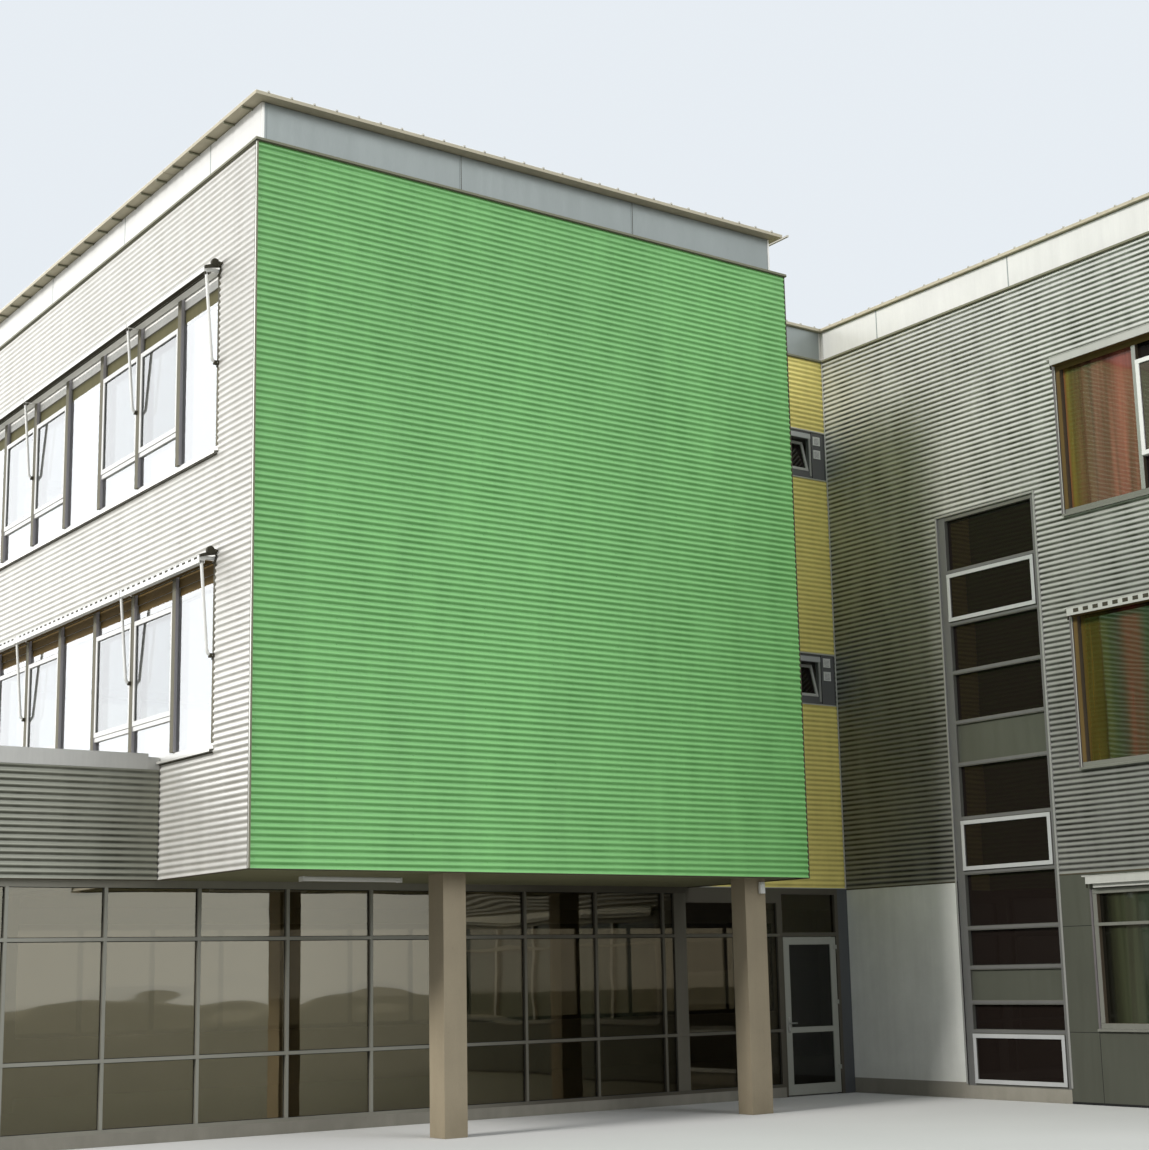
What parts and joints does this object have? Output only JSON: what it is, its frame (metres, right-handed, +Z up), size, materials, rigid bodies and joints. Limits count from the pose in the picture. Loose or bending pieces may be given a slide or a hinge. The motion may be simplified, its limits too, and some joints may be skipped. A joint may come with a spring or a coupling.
{
  "type": "school building",
  "caption": "School building in an L plan with a green corrugated box over a glazed terrace, silver and yellow cladding, ribbon windows and a hinged terrace door.",
  "frame": {"origin": "centre of the building's bounding box at ground level", "axes": "+X runs right along the green front wall, +Y runs to the back of the building, +Z is up"},
  "size_m": [24.885, 21.39, 12.02],
  "materials": {
    "concrete": "matt cast concrete and render",
    "plaster": "matt white render",
    "plinth_grey": "matt grey render",
    "green_sheet": "satin green coil coating on corrugated sheet",
    "silver_sheet": "mill aluminium corrugated sheet",
    "yellow_sheet": "satin ochre yellow coil coating on corrugated sheet",
    "grey_panel": "satin blue-grey smooth panel",
    "dark_panel": "satin dark grey panel",
    "dark_trim": "satin dark grey folded trim",
    "roof_sheet": "weathered olive grey standing seam sheet",
    "cap_light": "satin light grey cap",
    "window_alu": "anodised aluminium frame",
    "glass": "clear double glazing",
    "awning_white": "white powder coat",
    "awning_arm": "bent aluminium tube",
    "steel_handle": "brushed steel"
  },
  "bodies": {
    "building": {"ground_floor_slabs": "concrete", "first_floor_slabs": "concrete", "upper_slabs": "concrete", "roof_plates": "roof_sheet", "fascia_panels": "grey_panel", "box_walls": "plaster", "left_wall": "plaster", "yellow_wall": "plaster", "rear_wall": "plaster", "right_wall": "plaster", "wing_front_wall": "plaster", "court_wall": "concrete", "green_cladding": "green_sheet", "left_cladding": "silver_sheet", "yellow_cladding": "yellow_sheet", "court_cladding": "silver_sheet", "outer_cladding": "silver_sheet", "annex_cladding": "silver_sheet", "cladding_trims": "dark_trim", "annex_walls": "plaster", "annex_roof": "concrete", "annex_cap": "cap_light", "left_window_frames": "window_alu", "left_window_glass": "glass", "court_window_frames": "window_alu", "court_window_glass": "glass", "stair_window_frame": "window_alu", "stair_window_panels": "grey_panel", "yellow_window_units": "dark_panel", "yellow_window_sashes": "awning_white", "outer_window_frames": "window_alu", "outer_window_glass": "glass", "terrace_glazing_frame": "window_alu", "terrace_glass": "glass", "terrace_plinths": "plinth_grey", "door_frame": "window_alu", "terrace_end_panel": "dark_panel", "terrace_columns": "concrete", "box_soffit": "dark_panel", "white_plaster_wall": "plaster", "court_base_panels": "grey_panel", "awning_boxes": "awning_white", "awning_arms": "awning_arm"},
    "terrace_door": {"door_leaf": "window_alu", "door_glass": "glass", "door_handle": "steel_handle"}
  },
  "joints": [
    {"name": "terrace_door_hinge", "type": "hinge", "parent": "building", "child": "terrace_door", "pos_m": [4.1235, 1.293, 1.16], "axis": [0, 0, 1], "range_deg": [0, 90]}
  ]
}
